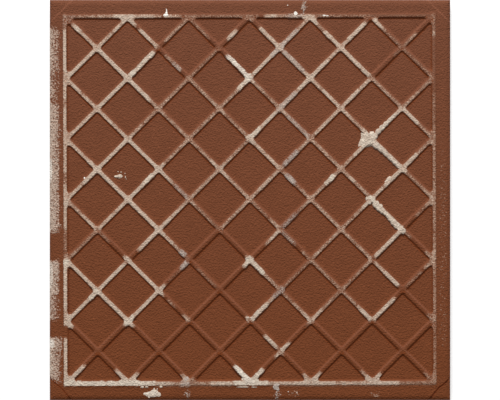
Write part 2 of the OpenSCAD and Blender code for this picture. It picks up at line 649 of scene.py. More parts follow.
# A falling rib's number is how many half cells it starts to the right of the frame's upper
# left corner, and a rising rib's number is where it would meet the frame's upper edge.
LATTICE_WASH = {
    (Rib.FALLING, -10): on_rib((0, 0.2, FULL), (1.6, 2, FULL, BODY)),
    (Rib.FALLING, -8): on_rib((0, 0.75, FULL), (0.75, 2.18, FULL, BODY), (3.75, 4, DENSE)),
    (Rib.FALLING, -6): on_rib((0, 0.5, WORN), (0.5, 1, DENSE), (1, 1.4, DUSTY), (1.88, 3.15, FULL),
                              (3.3, 3.55, DUSTY), (3.8, 4, WORN), (5.48, 6, FULL, HEAVY, 0.3)),
    (Rib.FALLING, -4): on_rib((0, 0.7, DENSE), (0.7, 3.2, FULL, BODY), (3.2, 3.5, DENSE),
                              (3.5, 3.68, WORN), (3.7, 3.88, DENSE, BODY, GREY), (3.88, 4, DUSTY),
                              (4.2, 4.9, 0.22), (5.87, 6, DENSE), (6.48, 6.9, FULL, BODY),
                              (6.95, 7.1, WORN), (7.75, 8.05, DENSE)),
    (Rib.FALLING, -2): on_rib((0, 0.2, DENSE), (0.2, 0.5, FULL), (0.5, 2, DENSE), (2, 3.2, FULL),
                              (3.2, 3.5, DENSE), (3.5, 4, THIN, LEVEL, GREYISH), (4, 4.2, WORN),
                              (4.2, 4.8, SHEER), (4.8, 5.1, DUSTY), (5.9, 6.5, FULL, COAT),
                              (6.5, 6.7, WORN), (6.7, 7, THIN), (7, 7.4, SHEER), (7.4, 7.7, WORN),
                              (7.7, 8.05, DENSE), (9.65, 9.8, WORN), (9.8, 10, FULL)),
    (Rib.FALLING, 0): on_rib((-0.1, 0.14, DUSTY, LEVEL, DULL), (0.22, 0.5, FULL, 0.2), (0.5, 1, DENSE),
                             (1, 2, FULL, BODY), (2, 2.75, FULL, 0.18), (2.75, 3, WORN), (3, 4.7, THIN),
                             (4.7, 5.35, DENSE), (5.35, 6, WORN), (6, 6.3, SHEER), (6.3, 6.6, DUSTY),
                             (6.65, 7, WORN), (7.05, 7.5, SHEER, BODY, GREYISH), (7.74, 7.85, WORN),
                             (7.87, 8, DUSTY), (8, 8.4, THIN), (8.4, 9.2, SHEER), (9.2, 9.5, THIN),
                             (9.5, 9.7, WORN), (9.6, 10, FULL, BODY), (11.7, 12, DUSTY)),
    (Rib.FALLING, 2): on_rib((2, 2.27, FULL), (2.4, 2.75, FULL), (2.75, 3, DENSE), (3.25, 3.45, THIN),
                             (3.45, 3.75, WORN, LEVEL, GREYISH), (3.95, 4.7, THIN), (4.7, 5.2, WORN),
                             (5.2, 5.7, SHEER), (5.7, 5.9, WORN), (5.9, 6.2, FULL, BODY),
                             (6.2, 7, DENSE), (7.05, 7.2, SHEER), (7.2, 7.5, DENSE, BODY, GREY),
                             (7.5, 7.7, SHEER), (7.7, 9, WORN), (9, 9.5, THIN), (9.5, 10, WORN),
                             (10.1, 10.4, DENSE), (10.4, 10.87, FULL, BODY), (11.8, 12, SHEER)),
    (Rib.FALLING, 4): on_rib((4, 4.7, DUSTY), (5.27, 6.08, FULL, COAT, 0.3), (6.08, 6.2, DENSE),
                             (6.2, 6.5, WORN), (6.5, 6.7, DUSTY), (6.7, 7, WORN), (7, 7.25, DENSE),
                             (7.25, 7.4, DENSE, LEVEL, GREYISH), (7.4, 8, WORN, LEVEL, GREYISH),
                             (8, 9, WORN), (9, 9.2, WORN), (9.2, 9.5, DENSE), (9.5, 9.9, WORN),
                             (9.9, 11, FULL), (11, 11.3, DUSTY), (11.75, 12, THIN)),
    (Rib.FALLING, 6): on_rib((6, 6.12, THIN), (6.35, 7.1, FULL, BODY), (7.1, 7.8, DENSE, BODY, GREYISH),
                             (7.8, 8.4, DENSE, BODY), (8.4, 8.7, FULL), (8.7, 9.4, DENSE),
                             (9.4, 9.7, WORN), (9.7, 11.15, FULL, BODY), (11.15, 11.7, SHEER),
                             (11.7, 12, WORN)),
    (Rib.FALLING, 8): on_rib((8, 8.25, FULL), (8.25, 8.45, THIN), (8.46, 8.75, FULL, 0.22),
                             (8.75, 9.95, FULL, BODY), (9.95, 11, THIN), (11, 11.55, FULL),
                             (11.55, 12, THIN)),
    (Rib.FALLING, 10): on_rib((10.07, 10.35, FULL), (10.35, 10.5, THIN), (10.5, 12, DUSTY)),
    (Rib.RISING, 2): on_rib((0, 1, FULL), (1, 1.5, DENSE), (1.5, 1.8, DENSE), (1.8, 2, FULL)),
    (Rib.RISING, 4): on_rib((0, 1, DENSE), (1, 2.2, FULL), (2.05, 2.87, FULL, COAT), (3.2, 3.75, THIN),
                            (3.75, 4, SHEER)),
    (Rib.RISING, 6): on_rib((0, 0.5, DENSE), (0.5, 1, FULL, BODY), (1, 2, FULL), (2, 2.2, DENSE),
                            (2.2, 2.5, WORN), (2.5, 4, THIN), (4, 5, DUSTY), (5.27, 5.58, FULL, BODY)),
    (Rib.RISING, 8): on_rib((0, 1, SHEER), (1, 1.7, DENSE), (1.7, 3, FULL), (2.45, 2.83, FULL, COAT),
                            (3, 3.2, DENSE), (3.2, 3.7, THIN), (3.7, 4, WORN), (4, 5.6, THIN),
                            (5.6, 6.1, FULL, COAT), (6.1, 6.7, FULL), (6.7, 7.2, FULL, LEVEL, GREYISH),
                            (7.2, 7.6, DENSE, LEVEL, GREYISH), (7.6, 8, WORN)),
    (Rib.RISING, 10): on_rib((0, 0.7, FULL), (0.7, 1.03, FULL, COAT), (1.03, 1.9, FULL),
                             (2.32, 3.4, FULL, BODY), (3.4, 3.75, DENSE), (3.75, 5, WORN),
                             (5, 5.2, DENSE), (5.2, 5.45, WORN), (5.45, 6, THIN), (6, 6.4, FULL, COAT),
                             (6.4, 6.9, FULL), (6.9, 7.55, DENSE, BODY, GREYISH),
                             (7.55, 8.6, FULL, BODY), (8.6, 9.2, DENSE), (9.2, 9.83, FULL, BODY)),
    (Rib.RISING, 12): on_rib((0, 0.56, FULL, BODY), (1.85, 2.2, FULL, COAT), (2.2, 3.2, FULL),
                             (3.3, 3.7, 0.15), (3.72, 3.93, DENSE, BODY, GREY), (5, 5.7, THIN),
                             (5.7, 6.3, WORN), (6.3, 6.7, DENSE, BODY), (6.7, 7.1, WORN),
                             (7.1, 7.6, WORN, BODY, GREY), (7.6, 8.1, WORN), (8.1, 9.2, DENSE),
                             (9.2, 9.6, FULL, BODY), (9.6, 9.95, DENSE), (10.7, 11.05, 0.2),
                             (11.05, 11.2, DUSTY), (11.2, 11.45, SHEER)),
    (Rib.RISING, 14): on_rib((2, 2.3, FULL, BODY), (5.77, 6.07, FULL, COAT), (6.5, 6.65, THIN),
                             (6.65, 7, DENSE), (7.05, 7.55, SHEER, BODY, GREY), (7.6, 8, THIN),
                             (8, 8.45, WORN), (8.45, 8.8, FULL, COAT), (8.8, 9.4, WORN), (9.4, 11, FULL),
                             (11, 11.55, THIN), (11.55, 12, SHEER)),
    (Rib.RISING, 16): on_rib((4, 4.13, THIN), (6.02, 6.6, FULL, 0.24), (6.6, 6.75, DENSE),
                             (6.75, 7.1, THIN, BODY, GREY), (7.1, 7.7, DUSTY), (7.7, 8, DUSTY),
                             (8.05, 8.25, WORN), (8.25, 9.4, THIN), (9.4, 9.7, WORN), (9.7, 10, FULL),
                             (10, 10.4, DENSE), (10.4, 11.48, FULL, BODY), (11.48, 12, THIN)),
    (Rib.RISING, 18): on_rib((6, 6.42, FULL, COAT), (6.8, 7, WORN), (7, 7.28, FULL), (7.85, 8, SHEER),
                             (8, 8.4, DENSE), (8.4, 8.7, THIN), (8.7, 9.75, SHEER), (9.75, 10, WORN),
                             (10.08, 11, FULL, BODY), (11.4, 11.75, DUSTY), (11.75, 12, WORN)),
    (Rib.RISING, 20): on_rib((8, 8.3, FULL), (10.02, 10.72, FULL, BODY), (11.1, 11.6, DUSTY),
                             (11.7, 12, THIN)),
    (Rib.RISING, 22): on_rib((10, 10.27, FULL)),
    (Rib.LEFT, 0): on_rib((-0.1, 0.4, DUSTY, LEVEL, DULL), (0.4, 1.8, FULL), (1.8, 2.2, DENSE),
                          (2.2, 2.4, FULL), (2.4, 2.7, DENSE), (2.7, 2.95, THIN), (2.95, 5.15, DENSE),
                          (5.15, 5.5, SHEER), (5.5, 7, DENSE), (7, 8, DUSTY), (7.95, 8.4, FULL, COAT),
                          (8.4, 9.7, FULL, 0.2), (9.7, 10.15, DENSE, 0.22), (10.57, 11.6, FULL, BODY),
                          (11.6, 12.1, FULL, 0.2)),
    (Rib.RIGHT, 0): on_rib((-0.1, 0.48, DUSTY), (0.48, 0.66, THIN), (0.66, 2.5, 0.1), (2.5, 3.7, DUSTY),
                           (3.7, 5.4, SHEER), (5.4, 6.7, THIN), (6.7, 7.6, SHEER), (7.6, 8.2, WORN),
                           (8.2, 9.8, SHEER), (9.8, 10.15, THIN), (10.15, 11.4, DUSTY),
                           (11.4, 12.1, SHEER)),
    (Rib.TOP, 0): on_rib((-0.1, 0.35, DUSTY, LEVEL, DULL), (0.35, 0.8, SHEER), (0.8, 1, THIN),
                         (1, 1.5, WORN), (1.5, 2, FULL), (1.85, 2.2, FULL, BODY), (2, 2.9, DENSE),
                         (2.9, 3.1, THIN), (3.2, 3.5, 0.7), (3.5, 3.7, WORN), (3.7, 6.3, DUSTY),
                         (6.5, 6.95, DENSE), (6.95, 7.25, THIN), (7.25, 7.7, WORN, BODY, GREYISH),
                         (7.7, 8.05, DENSE), (8.05, 8.6, SHEER), (8.6, 10, DUSTY), (10, 12, 0.14)),
    (Rib.BOTTOM, 0): on_rib((-0.1, 2.9, FULL, HEAVY), (2.9, 3.4, FULL), (3.4, 3.7, WORN),
                            (3.7, 4, DENSE, BODY, GREYISH), (4, 4.35, THIN), (4.35, 4.67, WORN),
                            (4.67, 5.4, FULL, BODY), (5.4, 6.6, FULL, HEAVY), (6.6, 7.4, DENSE),
                            (7.4, 8, FULL), (8, 10.9, DENSE), (8, 8.8, FULL), (8.95, 9.15, FULL),
                            (9.9, 10.85, FULL), (10.9, 12, 0.44)),
}

# The wash that a roller left on the margin at the tile's left edge, from top to bottom:
# where each stretch starts and ends, its cover at the very edge, and its width.
LEFT_BAND = ((86.0, 64.0, 0.84, 4.9), (64.0, 49.3, 0.77, 4.9), (48.5, 22.0, 0.9, 5.0),
             (22.0, -16.5, 0.92, 5.0), (-30.2, -47.5, 0.94, 4.8), (-47.5, -60.0, 0.82, 4.6),
             (-68.5, -76.5, 0.93, 6.2), (-76.5, -91.5, 0.9, 5.6))
SMEARS = (
    Smear(-99.0, -71.8, 1.5, 2.2, 1.0, 0.5),
    Smear(-99.5, -77.4, 0.8, 1.1, 1.0, 0.25),
    Smear(-99.0, -84.0, 0.8, 1.4, 0.9, 0.2),
    Smear(-99.5, 14.5, 0.9, 5.5, 1.0, 0.45),
    Smear(-99.3, -37.5, 1.1, 6.0, 1.0, 0.3),
    Smear(26.8, 96.0, 1.1, 3.4, 0.72, GREY),
    Smear(-31.3, -96.8, 1.0, 2.2, 0.7, GREY),
    Smear(13.5, -97.4, 1.5, 2.2, 0.75, GREY),
    Smear(22.5, -96.5, 2.8, 1.5, 0.34),
    Smear(62.2, -97.3, 3.6, 1.0, 0.55),
    Smear(96.3, -20.0, 2.2, 52.0, 0.13),
    Smear(96.3, -62.0, 2.2, 14.0, 0.15),
)

# How far the wash reaches from the middle of a rib, in millimetres: to the lower or left side,
# and to the upper or right side.
REACH = {Rib.FALLING: (1.06, 0.74), Rib.RISING: (1.06, 0.74), Rib.TOP: (1.06, 0.74),
         Rib.BOTTOM: (1.14, 0.74), Rib.LEFT: (0.9, 0.7), Rib.RIGHT: (0.86, 0.66)}
CELL, MARGIN = -1.0, -0.3
LUMPS = (
    Lump("crossing_web", CELL, 0.0, (Blob(61.0, 31.0, 2.0, 1.9, 1.45), Blob(62.5, 32.0, 1.5, 1.7, 1.4)),
         rim=((55.3, 33.9), (56.3, 35.9), (59.0, 34.2), (62.0, 34.3), (64.9, 33.9), (63.5, 31.2),
              (62.9, 26.9), (60.0, 26.8), (57.6, 26.1), (55.0, 23.7), (53.8, 25.2), (54.1, 28.0),
              (55.4, 31.0))),
    Lump("coat_above_crossing", CELL, -0.15, (
        Blob(64.0, 34.2, 1.5, 2.3, 1.5, -45), Blob(65.9, 36.1, 1.5, 2.3, 1.5, -45),
        Blob(67.8, 38.0, 1.4, 2.3, 1.5, -45), Blob(69.7, 39.9, 1.25, 2.3, 1.5, -45),
        Blob(71.4, 41.6, 1.1, 2.3, 1.5, -45))),
    Lump("coat_below_crossing", CELL, -0.25, (
        Blob(63.1, 27.5, 2.1, 2.6, 1.55, 45), Blob(65.6, 25.4, 1.7, 2.6, 1.55, 45),
        Blob(67.9, 23.3, 1.55, 2.6, 1.55, 45), Blob(70.1, 21.1, 1.45, 2.6, 1.5, 45),
        Blob(72.3, 18.8, 1.3, 2.6, 1.5, 45), Blob(74.1, 16.9, 1.2, 2.4, 1.5, 45))),
    Lump("flow_on_rib", CELL, PALE, (
        Blob(61.3, 0.4, 1.6, 1.9, 1.6), Blob(62.9, -2.1, 1.9, 2.1, 1.7), Blob(64.6, -3.7, 2.0, 2.1, 1.6),
        Blob(66.1, -5.2, 1.6, 1.9, 1.5), Blob(67.5, -6.6, 1.2, 1.9, 1.5, 45),
        Blob(68.9, -8.1, 1.15, 1.8, 1.5, 45), Blob(70.2, -9.4, 1.5, 1.8, 1.5, 45),
        Blob(71.8, -11.1, 1.8, 1.9, 1.6), Blob(73.4, -12.7, 1.95, 2.0, 1.6),
        Blob(75.2, -14.3, 1.95, 1.9, 1.6), Blob(76.4, -15.4, 1.8, 1.8, 1.6))),
    Lump("web_above_flow", CELL, PALE, (
        Blob(58.6, 0.4, 1.0, 2.0, 0.95), Blob(59.9, 1.2, 1.7, 1.5, 1.3), Blob(59.6, -1.2, 1.3, 1.3, 1.1))),
    Lump("knob_right", CELL, PALE, (
        Blob(69.6, 10.4, 1.3, 2.2, 1.4, -45), Blob(68.2, 9.0, 1.0, 2.4, 1.2, -45))),
    Lump("knob_left", CELL, PALE, (
        Blob(-71.1, 10.2, 1.4, 2.2, 1.35, 45), Blob(-69.6, 9.0, 1.2, 1.8, 1.2, 45))),
    Lump("bottom_web", CELL, 0.2, (
        Blob(0.0, -90.6, 4.3, 1.9, 1.5), Blob(-2.6, -89.9, 1.9, 1.9, 1.2), Blob(2.4, -89.9, 1.9, 1.9, 1.2),
        Blob(-4.2, -91.6, 2.2, 1.3, 1.3), Blob(4.2, -91.6, 2.2, 1.3, 1.3))),
    Lump("splash", CELL, PALE, (
        Blob(-66.4, 11.7, 1.5, 0.75, 0.55), Blob(-65.0, 11.8, 1.4, 1.1, 0.35),
        Blob(-65.9, 14.1, 0.3, 0.35, 0.3), Blob(-64.4, 13.9, 0.4, 0.35, 0.3),
        Blob(-62.4, 13.2, 0.3, 0.4, 0.25), Blob(-62.2, 11.4, 0.3, 0.7, 0.3),
        Blob(-61.8, 10.4, 0.25, 0.3, 0.25))),
    Lump("white_dot", CELL, WHITE, (Blob(-82.5, 10.8, 0.65, 0.75, 1.15), Blob(-83.0, 9.9, 0.4, 0.8, 1.05))),
    Lump("deposit", MARGIN, 0.15, (
        Blob(-48.8, -97.0, 3.8, 1.5, 0.4), Blob(-47.8, -95.8, 2.0, 1.2, 0.38),
        Blob(-51.8, -96.8, 1.5, 0.8, 0.3), Blob(-45.6, -97.1, 1.2, 1.2, 0.35),
        Blob(-50.4, -98.4, 0.6, 0.5, 0.25), Blob(-51.4, -97.6, 0.5, 0.5, 0.22),
        Blob(-47.8, -94.2, 0.45, 0.4, 0.22), Blob(-46.3, -94.4, 0.4, 0.4, 0.22))),
    Lump("frame_drips", MARGIN, PALE, (
        Blob(-53.8, -93.3, 1.1, 0.7, 0.4), Blob(-51.6, -93.3, 1.0, 0.6, 0.4),
        Blob(-44.4, -93.2, 0.8, 0.6, 0.4), Blob(-3.5, -93.3, 3.8, 0.4, 0.3),
        Blob(2.0, -93.4, 1.8, 0.3, 0.25))),
    Lump("grey_chip", MARGIN, GREY, (Blob(-31.8, -90.1, 1.7, 2.3, 0.5), Blob(-31.0, -91.2, 1.4, 1.0, 0.5))),
    Lump("grey_drip", MARGIN, GREY, (
        Blob(12.9, -93.4, 1.6, 1.5, 0.4), Blob(13.3, -92.2, 1.7, 0.8, 0.5),
        Blob(13.9, -94.6, 0.9, 0.9, 0.3))),
    Lump("white_spike", MARGIN, WHITE, (
        Blob(-42.0, 92.2, 1.5, 0.8, 0.6), Blob(-41.7, 93.3, 0.6, 0.8, 0.45),
        Blob(-41.6, 94.4, 0.28, 0.9, 0.3), Blob(-41.8, 95.2, 0.2, 0.35, 0.25))),
    Lump("white_bead", MARGIN, WHITE, (Blob(22.8, 92.7, 1.25, 1.1, 0.6), Blob(22.7, 93.4, 0.8, 0.8, 0.5))),
    Lump("white_chip", MARGIN, WHITE, (Blob(37.0, 92.1, 1.1, 0.45, 0.5), Blob(38.6, 91.9, 1.0, 0.35, 0.5))),
    Lump("rib_end", CELL, CREAM, (Blob(-0.9, -58.6, 1.6, 0.9, 1.15), Blob(0.9, -59.2, 1.2, 1.1, 1.3))),
    Lump("frame_speck", MARGIN, PALE, (Blob(91.8, 83.2, 0.35, 0.9, 0.42),)),
    Lump("specks", MARGIN, CREAM, (
        Blob(19.1, -95.7, 0.35, 0.3, 0.15), Blob(23.4, -96.2, 0.35, 0.3, 0.15),
        Blob(18.8, 97.2, 0.35, 0.35, 0.15))),
)


def clamp(value: float) -> float:
    """Limits a value to the range from 0 to 1."""
    return min(max(value, 0.0), 1.0)


@dataclass
class KilnWash:
    """The pale wash on the ribs and along one edge of a tile."""

    sizes: TileSizes
    fade: float = 0.06
    wander: float = 0.25
    top_rise: float = 0.13
    filling: float = 0.6
    lump_rise: float = 0.2
    fine_net: float = 0.12
    coarse_net: float = 0.22
    stretches: dict = field(default_factory=lambda: LATTICE_WASH)

    def along(self, rib: tuple[Rib, int], place: float) -> tuple[float, float, float]:
        """Finds the wash at one place of a rib.

        Args:
            rib: The rib's kind and number.
            place: How far along the rib.

        Returns:
            Cover from 0 to 1, body in millimetres, and tone.
        """
        cover, body, tone = 0.0, 0.0, PALE
        for run in self.stretches.get(rib, ()):
            ramp = clamp(min(place - run.start, run.end - place) / self.fade + 0.5)
            if run.cover * ramp > cover:
                cover, tone = run.cover * ramp, run.tone
            body = max(body, run.body * ramp)
        return cover, body, tone

    def ribs_near(self, x: float, y: float) -> list[tuple[tuple[Rib, int], float, float]]:
        """Lists the ribs beside a point, each with the place along it and the distance to it.

        Args:
            x: Across the tile, in millimetres.
            y: Up the tile, in millimetres.

        Returns:
            The ribs, with places in half cells, and distances in millimetres that are positive
            on the side towards the tile's upper edge.
        """
        s = self.sizes
        i, j = (x + s.lattice) / s.step, (s.lattice - y) / s.step
        unit = s.step / math.sqrt(2)
        falling, rising = 2 * round((i - j) / 2), 2 * round((i + j) / 2)
        near = [((Rib.LEFT, 0), j, x + s.frame_at), ((Rib.RIGHT, 0), j, x - s.frame_at),
                ((Rib.TOP, 0), i, y - s.frame_at), ((Rib.BOTTOM, 0), i, y + s.frame_at)]
        if max(abs(x), abs(y)) < s.frame_at:
            near.append(((Rib.FALLING, falling), (i + j + falling) / 2, (i - j - falling) * unit))
            near.append(((Rib.RISING, rising), (i - j + rising) / 2, (rising - i - j) * unit))
        return near

    def corner_room(self, kind: Rib, near: list) -> float:
        """Finds how much wider a rib is where the rounded corner of a pocket fills its side.

        Args:
            kind: The rib's kind.
            near: The ribs near the point.

        Returns:
            The extra half width, in millimetres.
        """
        lattice = (Rib.FALLING, Rib.RISING)
        wider = 0.0
        for (other, _), _, off in near:
            if other is kind or (kind not in lattice and other not in lattice):
                continue
            square = kind in lattice and other in lattice
            reach, most = (2.1, 0.35) if square else (2.95, 0.74)
            wider = max(wider, most * clamp((reach - abs(off)) / (reach - 0.9 - most)))
        return wider

    def on_ribs(self, point: Vector) -> tuple[float, float, float]:
        """Finds the wash that the ribs carry at a point of the back.

        A thin film lies along the middle of a rib and a full coat spans its top.

        Args:
            point: The point, in millimetres.

        Returns:
            Cover from 0 to 1, body in millimetres, and tone.
        """
        half = self.sizes.rib_width / 2
        cover, thick, hue = 0.0, 0.0, PALE
        drift = noise.noise(Vector((point.x, point.y, 0.0)) * 0.45) * self.wander
        near = [entry for entry in self.ribs_near(point.x, point.y) if abs(entry[2]) < 3.0]
        for rib, place, off in near:
            run, body, tone = self.along(rib, place)
            upright = rib[0] in (Rib.LEFT, Rib.RIGHT)
            lit = 0.0 if upright else clamp((off + 0.2) / half)
            bared = (1.0 - run) * (0.2 * clamp(-off / half) + 0.9 * lit) + 0.15 * lit
            bared *= 1.0 - clamp((body - BODY) / (COAT - BODY))
            spill = REACH[rib[0]][off > 0] - 0.4 * max(body - BODY, 0.0) + drift * clamp(body * 3)
            spill += 0.3 * clamp(-tone) + self.corner_room(rib[0], near)
            spill += lit * clamp(body - BODY)
            run *= (1.0 - bared) * clamp((spill - abs(off)) / 0.3 + 0.5)
            if run > cover:
                cover, hue = run, tone
            thick = max(thick, body * (1.0 + drift) * clamp((2.1 - abs(off)) / 0.6))
        return cover, thick, hue

    def painted_light_at(self, point: Vector) -> float:
        """Finds the painted light on the clay at a point, beside a rib.

        A painted highlight lies along the side of a rib that faces the lamp at the tile's upper edge, and
        painted shade lies on its other side and on the floor beside it.

        Args:
            point: The point, in millimetres.

        Returns:
            1 for the painted highlight, -1 for painted shade, and down to -2 for the painted shadow at the
            foot of the step at a lower corner.
        """
        painted_light, painted_shade = 0.0, 0.0
        # Painted highlight on each rib's lamp side; painted shade on its far side, and at the feet of the
        # frame's upright ribs.
        for rib, place, off in self.ribs_near(point.x, point.y):
            if rib[0] in (Rib.LEFT, Rib.RIGHT):
                clear = clamp((self.sizes.frame_at - 1.5 - abs(point.y)) / 0.5)
                painted_shade = max(painted_shade, clear * clamp(1.2 - abs(abs(off) - 1.3) / 0.4))
            elif abs(off) < 3.0:
                bare = 1.0 - 0.7 * self.along(rib, place)[0]
                painted_light = max(painted_light, bare * clamp(1.3 - abs(off - 0.85) / 0.5))
                painted_shade = max(painted_shade, clamp(1.4 - abs(off + 1.5) / 0.5))
        s = self.sizes
        # Corner steps: painted highlight on the upper ones, painted shadow on the lower ones, darker on the
        # right, away from the lamp.
        stepped = (abs(point.x) + abs(point.y)) / math.sqrt(2) - s.corner_foot
        if -s.corner_drop * s.flank_run - 0.05 < stepped < 0.3:
            return 0.8 if point.y > 0 else -1.7 + 0.3 * math.copysign(1.0, -point.x)
        inside = max(abs(point.x), abs(point.y)) < s.frame_at
        return painted_light - painted_shade * (1.0 - painted_light) if inside else 0.3 * painted_light

    def on_band(self, x: float, y: float) -> float:
        """Finds the cover of the band that the roller left along the left edge.

        Args:
            x: Across the tile, in millimetres.
            y: Up the tile, in millimetres.

        Returns:
            Cover from 0 to 1, which falls off away from the edge.
        """
        inside = x + self.sizes.half
        if inside > 7.0:
            return 0.0
        ragged = 1.2 * noise.noise(Vector((0.0, y * 0.35, 7.0))) - inside
        cover = max((most - (0.43 - 0.4 * most) * inside) * clamp(min(top - y, y - bottom) / 1.2 + 0.5)
                    * clamp(width + ragged + 0.5) for top, bottom, most, width in LEFT_BAND)
        return cover * clamp((x + y + 189.0) / 1.5)

    def in_smears(self, x: float, y: float) -> tuple[float, float]:
        """Finds the cover and the tone of the smears at a point."""
        cover, tone = 0.0, PALE
        for smear in SMEARS:
            reach = math.hypot((x - smear.x) / smear.across, (y - smear.y) / smear.tall)
            part = smear.cover * clamp((1.15 - reach) * 2.0)
            if part > cover:
                cover, tone = part, smear.tone
        return cover, tone

    def lay_on(self, tile: bpy.types.Object) -> None:
        """Marks where the wash lies on the ribs, and thickens the ribs there.

        Args:
            tile: The tile, in millimetres, before it is set askew.
        """
        low = self.sizes.thickness - self.sizes.rib_height - 0.1
        marks = [self.on_ribs(v.co) if v.co.z > low and v.normal.z > 0.3 else (0.0, 0.0, PALE)
                 for v in tile.data.vertices]
        for name, values in zip(("wash", "coat", "tone"), zip(*marks)):
            write_attribute(tile, name, list(values))
        # Per-vertex painted highlight and painted shade beside the ribs and at the corner steps.
        write_attribute(tile, "painted_light", [self.painted_light_at(v.co) if v.co.z > low else 0.0
                                       for v in tile.data.vertices])
        group = tile.vertex_groups.new(name="coat")
        level = self.sizes.thickness
        for vert, (cover, thick, _) in zip(tile.data.vertices, marks):
            hollow = level - vert.co.z
            thick += self.filling * cover * hollow * clamp((0.6 - hollow) / 0.3)
            if thick > 0.01:
                group.add([vert.index], min(thick, hollow + self.top_rise), "REPLACE")
        apply_modifier(tile, "DISPLACE", vertex_group="coat", strength=1.0, mid_level=0.0)
        tile.vertex_groups.clear()

    def mark_margin(self, tile: bpy.types.Object) -> None:
        """Marks the band and the smears, which lie where they fell on the finished tile.

        Args:
            tile: The tile, in millimetres.
        """
        film = []
        tones = tile.data.attributes["tone"].data
        for vert in tile.data.vertices:
            x, y = vert.co.x, vert.co.y
            cover, tone = (0.0, PALE) if vert.normal.z < 0.3 else self.in_smears(x, y)
            band = self.on_band(x, y) if vert.co.z > 5.5 else 0.0
            film.append(max(cover, band))
            if cover > 0 or band > 0:
                tones[vert.index].value = tone if cover > 0 else DULL
        write_attribute(tile, "film", film)

    def model_web(self, lump: Lump) -> bpy.types.Object:
        """Models the web of a lump, which slopes up from its rim towards the first blob.

        Args:
            lump: The lump.

        Returns:
            The web, closed and in millimetres.
        """
        foot = self.sizes.thickness + lump.foot
        outline = [(x, y, foot - 0.4) for x, y in lump.rim]
        mesh = bpy.data.meshes.new("web")
        mesh.from_pydata(outline, [], [range(len(outline))])
        web = bpy.data.objects.new("web", mesh)
        bpy.context.collection.objects.link(web)
        edit(web)
        bpy.ops.mesh.select_all(action="SELECT")
        bpy.ops.mesh.extrude_region_move(TRANSFORM_OT_translate={"value": (0, 0, 0.65)})
        bpy.ops.mesh.extrude_region_move(TRANSFORM_OT_translate={"value": (0, 0, 1.05)})
        peak = lump.blobs[0]
        bpy.ops.transform.resize(value=(0.6, 0.6, 1), center_override=(peak.x, peak.y, 0))
        bpy.ops.mesh.select_all(action="SELECT")
        bpy.ops.mesh.normals_make_consistent(inside=False)
        bpy.ops.object.mode_set(mode="OBJECT")
        return web

    def model_lump(self, lump: Lump) -> bpy.types.Object:
        """Models one raised lump, closed, with its foot sunk into the tile.

        Args:
            lump: The lump's blobs and tone.

        Returns:
            The lump, in millimetres.
        """
        foot = self.sizes.thickness + lump.foot
        clear_selection()
        made = []
        for blob in lump.blobs:
            bpy.ops.mesh.primitive_uv_sphere_add(segments=20, ring_count=10, radius=1.0,
                                                 location=(blob.x, blob.y, foot))
            ball = bpy.context.object
            ball.scale = (blob.across, blob.tall, max(blob.rise, 0.05))
            ball.rotation_euler = (0, 0, math.radians(blob.turn))
            made.append(ball)
        if lump.rim:
            made.append(self.model_web(lump))
        for part in made:
            part.select_set(True)
        if len(made) > 1:
            bpy.ops.object.join()
        body = bpy.context.object
        bpy.ops.object.transform_apply(location=True, rotation=True, scale=True)
        small = min(min(blob.across, blob.tall) for blob in lump.blobs) < 0.6
        apply_modifier(body, "REMESH", mode="VOXEL", voxel_size=self.fine_net if small else self.coarse_net)
        apply_modifier(body, "SMOOTH", factor=0.5, iterations=2 if small else 5)
        level, swell = self.sizes.thickness, self.lump_rise
        for vert in body.data.vertices:
            above = vert.co.z - level
            if above > 0:
                vert.co.z = level + swell * (1 - math.exp(-above / swell))
        edit(body)
        bpy.ops.mesh.select_all(action="SELECT")
        bpy.ops.mesh.bisect(plane_co=(0, 0, foot - 0.15), plane_no=(0, 0, 1), clear_inner=True,
                            use_fill=True)
        bpy.ops.object.mode_set(mode="OBJECT")
        for name, value in (("wash", 1.0), ("film", 1.3), ("coat", 0.3), ("tone", lump.tone)):
            write_attribute(body, name, [value] * len(body.data.vertices))
        body.name = lump.name
        return body


def write_attribute(obj: bpy.types.Object, name: str, values: list[float]) -> None:
    """Stores one number for each vertex of an object.

    Args:
        obj: The mesh object.
        name: The attribute's name.
        values: A value for each vertex.
    """
    layer = obj.data.attributes.new(name, "FLOAT", "POINT")
    layer.data.foreach_set("value", values)


# ---------------------------------------------------------------- finishes

def linear(code: str) -> tuple[float, float, float, float]:
    """Turns an sRGB hex colour into a linear one.

    Args:
        code: The colour, such as "#774936".

    Returns:
        Linear red, green and blue, and an alpha of one.
    """
    parts = [int(code[k:k + 2], 16) / 255 for k in (1, 3, 5)]
    parts = [p / 12.92 if p <= 0.04045 else ((p + 0.055) / 1.055) ** 2.4 for p in parts]
    return (*parts, 1.0)


def add(tree: bpy.types.NodeTree, kind: str, links: dict | None = None, **settings: object):
    """Adds a shader node with its settings, values and links.

    Args:
        tree: The material's node tree.
        kind: The node's type, without "ShaderNode" at its start.
        links: Input name or number to a socket to link or a value to set.
        **settings: Values for the node's properties.

    Returns:
        The node.
    """
    node = tree.nodes.new("ShaderNode" + kind)
    for name, value in settings.items():
        setattr(node, name, value)
    for name, value in (links or {}).items():
        if isinstance(value, bpy.types.NodeSocket):
            tree.links.new(value, node.inputs[name])
        else:
            node.inputs[name].default_value = value
    return node


def new_material(name: str) -> tuple[bpy.types.Material, bpy.types.NodeTree]:
    """Starts a material with an empty node tree."""
    material = bpy.data.materials.new(name)
    material.use_nodes = True
    material.node_tree.nodes.clear()
    return material, material.node_tree


